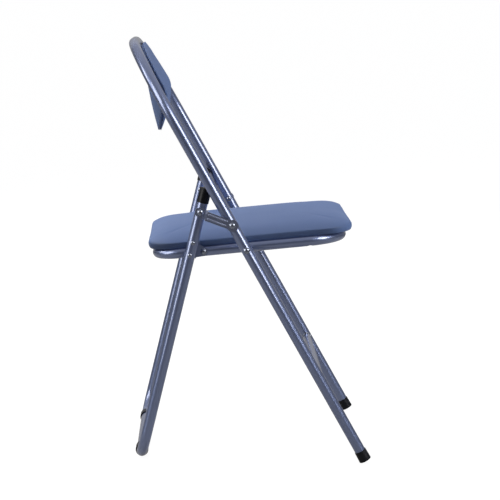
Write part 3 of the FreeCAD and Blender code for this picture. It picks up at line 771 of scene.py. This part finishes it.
def tab_weld(index, across, up, inward):
    """A short bead along the tube where a back tab is welded on."""
    middle = Vector((6.2, across, up)) - inward * (SCREW_INSET - 7.4)
    aside = Vector((0, inward.z, -inward.y))
    path = []
    for k in range(19):
        shift = -9.0 + k
        at = middle + aside * shift
        if inward.y:
            at.y = math.copysign(arch_half(at.z) - 7.4, across)
        else:
            edge = abs(at.y) - (FRONT_HALF - ARCH_R)
            at.z = ARCH_START + math.sqrt(ARCH_R ** 2 - max(edge, 0.0) ** 2) - 7.4
        path.append((at, Vector((-0.6, 0, 0)) + inward * 0.8))
    return bead(f"tab_weld_{index}", path, 1.3)


TAB_T = 2.5
HEAD_TOP = 2.3
RECESS_FLOOR = 0.8
# shank and head as (radius, height), then the recess as (radius, half width of a slot, floor)
HEAD_PROFILE = ((2.2, -5.9), (2.2, 0.05), (4.4, 0.05), (4.4, 0.7), (4.2, 1.2), (3.6, 1.8), (2.9, 2.15))
HEAD_RECESS = ((2.3, 0.30, 2.1), (1.6, 0.30, 0.9), (0.8, 0.75, 0.9))


def screw_head(across, up):
    """A pan head with a cross recess, seen from behind the back."""
    face = panel_rear(across, up) - TAB_T
    verts = []
    faces = []
    steps = 48

    def ring(radius, height):
        for k in range(steps):
            angle = 2 * math.pi * k / steps
            verts.append((face - height(angle), across + radius * math.cos(angle),
                          up + radius * math.sin(angle)))

    for radius, height in HEAD_PROFILE:
        ring(radius, lambda angle, h=height: h)
    for radius, slot, floor in HEAD_RECESS:
        ring(radius, lambda angle, s=slot, f=floor: f if abs(math.sin(2 * angle)) < s else HEAD_TOP)
    verts.append((face - RECESS_FLOOR, across, up))
    rings = len(HEAD_PROFILE) + len(HEAD_RECESS)
    for r in range(rings - 1):
        faces.extend(ring_faces(r * steps, (r + 1) * steps, steps))
    last = (rings - 1) * steps
    faces += [(last + k, last + (k + 1) % steps, len(verts) - 1) for k in range(steps)]
    faces.append(tuple(reversed(range(steps))))
    return verts, faces


def screws():
    """All four back screws as one piece."""
    verts = []
    faces = []
    for across, up, _ in TABS:
        some, more = screw_head(across, up)
        faces += [tuple(i + len(verts) for i in face) for face in more]
        verts += some
    obj = piece("back_screw_heads", verts, faces, FRONT, ZINC)
    outward(obj)
    obj.data.shade_smooth()
    return obj


def staples():
    """Upholstery staples that hold the turned-in cover under the seat board."""
    verts = []
    faces = []
    low = PAD_BOTTOM - 1.55
    inset = HEM - 7.0
    for side in range(4):
        for k in range(9):
            t = side * 2.0 + 1.08 + k * 0.105
            x, y = pad_point(t, inset)
            a, b = pad_point(t + 0.01, inset)
            angle = math.atan2(b - y, a - x) + 0.35 * math.sin(k * 2.3 + side)
            ux, uy = math.cos(angle), math.sin(angle)
            base = len(verts)
            for dz in (0.0, 0.6):
                for du, dv in ((-5, -0.45), (5, -0.45), (5, 0.45), (-5, 0.45)):
                    verts.append((x + ux * du - uy * dv, y + uy * du + ux * dv, low + dz))
            faces += [(base, base + 1, base + 2, base + 3), (base + 4, base + 5, base + 6, base + 7)]
            faces += ring_faces(base, base + 4, 4)
    obj = piece("cover_staples", verts, faces, SEAT, ZINC, smooth=False)
    outward(obj)
    return obj


for side in (-1, 1):
    weld = bar_weld(side)
    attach(weld, "frame")
for index, (across, up, inward) in enumerate(TABS):
    weld = tab_weld(index, across, up, inward)
    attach(weld, "frame")
heads = screws()
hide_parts("back_screws")
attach(heads, "frame")
clips = staples()
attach(clips, "seat")

# ---------------------------------------------------------------- studio
bpy.ops.mesh.primitive_plane_add(size=400.0, location=(0, 0, 0))
floor = bpy.context.object
floor.name = "floor"
floor_shade = Shade("floor", (0.30, 0.30, 0.31), 0.9, Specular_IOR_Level=0.0, Emission_Strength=1.0)
seen = floor_shade.node("ShaderNodeLightPath", {}, out="Is Camera Ray")
mirrored = floor_shade.node("ShaderNodeLightPath", {}, out="Is Glossy Ray")
floor_shade.set("Base Color", floor_shade.blend(seen, (0.16, 0.16, 0.165), (0.12, 0.12, 0.12)))
# Painted reflection: in glossy rays only, the floor glows brightly near the chair and fades to dark
# farther out; the camera sees an evenly bright floor.
far = floor_shade.node("ShaderNodeVectorMath", [floor_shade.place], out="Value", operation="LENGTH")
painted_reflection_glow = floor_shade.blend(far.ramp(0.8, 2.2), (0.21, 0.205, 0.195), (0.03, 0.03, 0.03))
glow = floor_shade.blend(mirrored, (0.0, 0.0, 0.0), painted_reflection_glow)
floor_shade.set("Emission Color", floor_shade.blend(seen, glow, (0.95, 0.95, 0.95)))
paint(floor, floor_shade.material)

world = bpy.data.worlds.new("studio")
scene.world = world
world.use_nodes = True
sky = Nodes(world.node_tree)
heading = sky.node("ShaderNodeTexCoord", {}, out="Generated")
upward = sky.node("ShaderNodeSeparateXYZ", [heading], out="Z")
sideways = sky.node("ShaderNodeSeparateXYZ", [heading], out="Y")
levels = [(0.44, 0.12), (0.52, 0.115), (0.62, 0.18), (0.78, 0.42)]
stops = [(0.0, (0.16, 0.165, 0.18, 1))]
stops += [(position, (level, level, level * 1.06, 1)) for position, level in levels]
stops += [(1.0, (0.62, 0.62, 0.64, 1))]
walls = sky.node("ShaderNodeValToRGB", [upward.ramp(-1.0, 1.0)], stops=stops)
room = sky.node("ShaderNodeBackground", [walls, sideways.ramp(-0.8, 0.2, 0.55, 1.0)])
pale = sky.node("ShaderNodeBackground", [(1.0, 1.0, 1.0, 1.0)])
direct = sky.node("ShaderNodeLightPath", {}, out="Is Camera Ray")
backing = sky.node("ShaderNodeMixShader", [direct, room, pale])
sky.feed(sky.tree.nodes["World Output"].inputs["Surface"], backing)


def softbox(name, place, target, width, height, radiance, gloss=True, diffuse=True):
    """A soft lamp that may be left out of reflections or of plain light."""
    light = bpy.data.lights.new(name, "AREA")
    light.shape = "RECTANGLE"
    light.size = width
    light.size_y = height
    light.energy = radiance * width * height * math.pi
    obj = bpy.data.objects.new(name, light)
    scene.collection.objects.link(obj)
    obj.visible_camera = False
    obj.visible_glossy = gloss
    obj.visible_diffuse = diffuse
    if not diffuse:
        light.color = (1.0, 0.98, 0.94)
    obj.location = place
    obj.rotation_euler = (Vector(target) - Vector(place)).to_track_quat("-Z", "Z").to_euler()
    return obj


softbox("right", (2.10, -2.28, 2.05), (0, -0.15, 0.9), 2.0, 1.35, 7.2, diffuse=False)
softbox("left", (-1.90, -1.35, 1.22), (0, -0.2, 0.8), 1.9, 1.15, 3.5, diffuse=False)
softbox("left_end", (-2.10, -0.10, 1.45), (-0.1, -0.2, 0.46), 0.9, 0.7, 4.0, diffuse=False)
softbox("top", (-1.5, 1.2, 2.2), (0, 0, 0.45), 2.6, 2.0, 5.0, gloss=False)
softbox("ahead", (3.0, -0.6, 0.80), (0, 0, 0.65), 1.6, 0.8, 15.0, gloss=False)
softbox("backdrop", (0.0, 3.2, 1.5), (0, 0, 0.8), 5.0, 3.0, 0.22)

scene.view_settings.view_transform = "Standard"

# ---------------------------------------------------------------- camera
lens = bpy.data.cameras.new("camera")
lens.sensor_width = 36.0
lens.lens = 126.62568
lens.clip_end = 500.0
camera = bpy.data.objects.new("camera", lens)
scene.collection.objects.link(camera)
scene.camera = camera
yaw = 0.0264
pitch = 0.1457
roll = -0.0052
ahead = Vector((math.sin(yaw) * math.cos(pitch), math.cos(yaw) * math.cos(pitch),
                -math.sin(pitch)))
right = Vector((math.cos(yaw), -math.sin(yaw), 0.0))
above = right.cross(ahead)
rolled_right = right * math.cos(roll) + above * math.sin(roll)
rolled_up = above * math.cos(roll) - right * math.sin(roll)
turn = Matrix((rolled_right, rolled_up, -ahead)).transposed().to_4x4()
camera.matrix_world = Matrix.Translation((-0.08416, -3.38151, 0.86687)) @ turn
